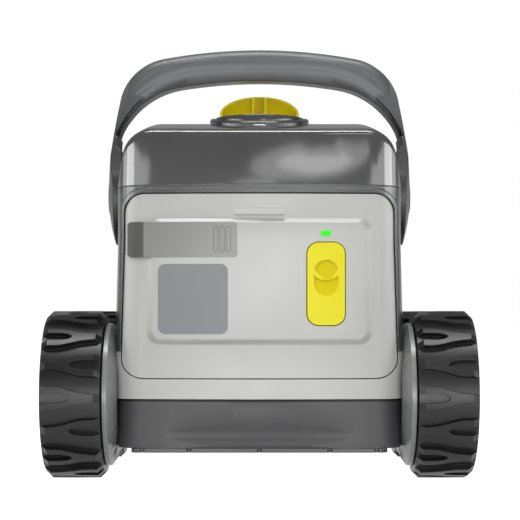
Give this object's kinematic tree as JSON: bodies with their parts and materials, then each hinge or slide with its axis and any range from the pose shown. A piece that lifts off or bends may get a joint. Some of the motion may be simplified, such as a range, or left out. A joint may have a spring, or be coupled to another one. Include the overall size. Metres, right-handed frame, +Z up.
{
  "type": "robotic pool cleaner",
  "caption": "Boxy cordless pool-cleaning robot with big lugged wheels, a carry handle, a slanted top outlet, a filter lid, a rear panel with a pull-off charging cap and a front scrubbing brush.",
  "frame": {"origin": "on the floor, in the middle between the four wheels", "axes": "+X to the machine's right seen from behind, +Y the way it drives, away from its rear panel, +Z up"},
  "size_m": [0.43, 0.406, 0.4456],
  "materials": {
    "dark_matte": "fine satin, dark grey",
    "dark_gloss": "glossy, dark grey",
    "light_satin": "satin, warm light grey",
    "mid_satin": "satin, mid grey",
    "tyre_rubber": "matt black rubber",
    "soft_rubber": "matt rubber",
    "yellow": "satin yellow",
    "green_lens": "lit green lens",
    "badge_grey": "satin grey",
    "window_dark": "glossy black",
    "steel": "bare steel",
    "brass": "bare brass",
    "gear_white": "moulded acetal",
    "can_grey": "coated can",
    "mesh_grey": "fine woven sheet",
    "board_green": "circuit board"
  },
  "bodies": {
    "body": {"base_chassis": "dark_matte", "bottom_plate": "dark_matte", "bottom_screws": "steel", "lower_shell": "light_satin", "upper_frame": "dark_matte", "rear_panel": "light_satin", "badge_plate": "badge_grey", "badge_windows": "window_dark", "status_lens": "green_lens", "charge_socket": "dark_matte", "socket_pins": "brass", "top_cover": "dark_gloss", "lid_hinge_pins": "steel", "outlet_nozzle": "yellow", "pump_housing": "dark_matte", "pump_motor": "can_grey", "battery_pack": "can_grey", "control_board": "board_green", "drive_motors": "can_grey", "filter_basket": "mid_satin", "filter_mesh": "mesh_grey", "gear_covers": "mid_satin", "stub_axles": "steel", "axle_bushes": "brass", "handle_pivots": "steel", "gear_case_left": "light_satin", "gear_case_right": "light_satin"},
    "lid": {"filter_lid": "dark_gloss"},
    "latch": {"lid_latch": "dark_matte"},
    "handle": {"carry_handle": "dark_matte", "pivot_caps": "mid_satin"},
    "cap": {"charge_cap": "yellow", "charge_seal": "soft_rubber"},
    "flap": {"intake_flap": "soft_rubber"},
    "pump_rotor": {"propeller": "dark_matte"},
    "brush": {"brush_core": "mid_satin", "brush_fins": "soft_rubber"},
    "wheel_rear_left": {"tyre_rear_left": "tyre_rubber", "rim_rear_left": "mid_satin", "hub_cap_rear_left": "yellow", "wheel_gear_rear_left": "gear_white"},
    "idler_rear_left": {"idler_gear_rear_left": "gear_white"},
    "wheel_front_left": {"tyre_front_left": "tyre_rubber", "rim_front_left": "mid_satin", "hub_cap_front_left": "yellow", "wheel_gear_front_left": "gear_white"},
    "idler_front_left": {"idler_gear_front_left": "gear_white"},
    "pinion_left": {"drive_pinion_left": "steel"},
    "wheel_rear_right": {"tyre_rear_right": "tyre_rubber", "rim_rear_right": "mid_satin", "hub_cap_rear_right": "yellow", "wheel_gear_rear_right": "gear_white"},
    "idler_rear_right": {"idler_gear_rear_right": "gear_white"},
    "wheel_front_right": {"tyre_front_right": "tyre_rubber", "rim_front_right": "mid_satin", "hub_cap_front_right": "yellow", "wheel_gear_front_right": "gear_white"},
    "idler_front_right": {"idler_gear_front_right": "gear_white"},
    "pinion_right": {"drive_pinion_right": "steel"}
  },
  "joints": [
    {"name": "handle_swing", "type": "hinge", "parent": "body", "child": "handle", "pos_m": [0, -0.058, 0.29], "axis": [1, 0, 0], "range_deg": [-28, 40]},
    {"name": "lid_hinge", "type": "hinge", "parent": "body", "child": "lid", "pos_m": [0, 0.18694, 0.2956], "axis": [-1, 0, 0], "range_deg": [0, 100]},
    {"name": "latch_press", "type": "slide", "parent": "lid", "child": "latch", "axis": [0, 0, -1], "range_m": [0, 0.002], "stiffness_N_per_m": 300, "springref_m": -0.002},
    {"name": "cap_pull", "type": "slide", "parent": "body", "child": "cap", "axis": [0, -1, 0], "range_m": [0, 0.04]},
    {"name": "flap_swing", "type": "hinge", "parent": "body", "child": "flap", "pos_m": [0, 0.047, 0.1174], "axis": [1, 0, 0], "range_deg": [0, 75]},
    {"name": "pump_spin", "type": "hinge", "parent": "body", "child": "pump_rotor", "pos_m": [0, -0.058, 0.29], "axis": [0, 0, 1], "continuous": true},
    {"name": "wheel_rear_left_spin", "type": "hinge", "parent": "body", "child": "wheel_rear_left", "pos_m": [0, -0.118, 0.085], "axis": [1, 0, 0], "continuous": true},
    {"name": "idler_rear_left_spin", "type": "hinge", "parent": "body", "child": "idler_rear_left", "pos_m": [0, -0.05, 0.085], "axis": [1, 0, 0], "continuous": true},
    {"name": "wheel_front_left_spin", "type": "hinge", "parent": "body", "child": "wheel_front_left", "pos_m": [0, 0.118, 0.085], "axis": [1, 0, 0], "continuous": true},
    {"name": "idler_front_left_spin", "type": "hinge", "parent": "body", "child": "idler_front_left", "pos_m": [0, 0.05, 0.085], "axis": [1, 0, 0], "continuous": true},
    {"name": "pinion_left_spin", "type": "hinge", "parent": "body", "child": "pinion_left", "pos_m": [0, 0, 0.085], "axis": [1, 0, 0], "continuous": true},
    {"name": "wheel_rear_right_spin", "type": "hinge", "parent": "body", "child": "wheel_rear_right", "pos_m": [0, -0.118, 0.085], "axis": [1, 0, 0], "continuous": true},
    {"name": "idler_rear_right_spin", "type": "hinge", "parent": "body", "child": "idler_rear_right", "pos_m": [0, -0.05, 0.085], "axis": [1, 0, 0], "continuous": true},
    {"name": "wheel_front_right_spin", "type": "hinge", "parent": "body", "child": "wheel_front_right", "pos_m": [0, 0.118, 0.085], "axis": [1, 0, 0], "continuous": true},
    {"name": "idler_front_right_spin", "type": "hinge", "parent": "body", "child": "idler_front_right", "pos_m": [0, 0.05, 0.085], "axis": [1, 0, 0], "continuous": true},
    {"name": "pinion_right_spin", "type": "hinge", "parent": "body", "child": "pinion_right", "pos_m": [0, 0, 0.085], "axis": [1, 0, 0], "continuous": true},
    {"name": "brush_spin", "type": "hinge", "parent": "body", "child": "brush", "pos_m": [0, 0.16479, 0.04432], "axis": [1, 0, 0], "continuous": true}
  ],
  "couplings": [
    {"joint": "idler_rear_left_spin", "follows": "wheel_rear_left_spin", "ratio": -1.4286},
    {"joint": "idler_front_left_spin", "follows": "wheel_rear_left_spin", "ratio": -1.4286},
    {"joint": "pinion_left_spin", "follows": "wheel_rear_left_spin", "ratio": 1.8182},
    {"joint": "wheel_front_left_spin", "follows": "wheel_rear_left_spin", "ratio": 1},
    {"joint": "idler_rear_right_spin", "follows": "wheel_rear_right_spin", "ratio": -1.4286},
    {"joint": "idler_front_right_spin", "follows": "wheel_rear_right_spin", "ratio": -1.4286},
    {"joint": "pinion_right_spin", "follows": "wheel_rear_right_spin", "ratio": 1.8182},
    {"joint": "wheel_front_right_spin", "follows": "wheel_rear_right_spin", "ratio": 1},
    {"joint": "brush_spin", "follows": "wheel_rear_left_spin", "ratio": -1.8182}
  ]
}
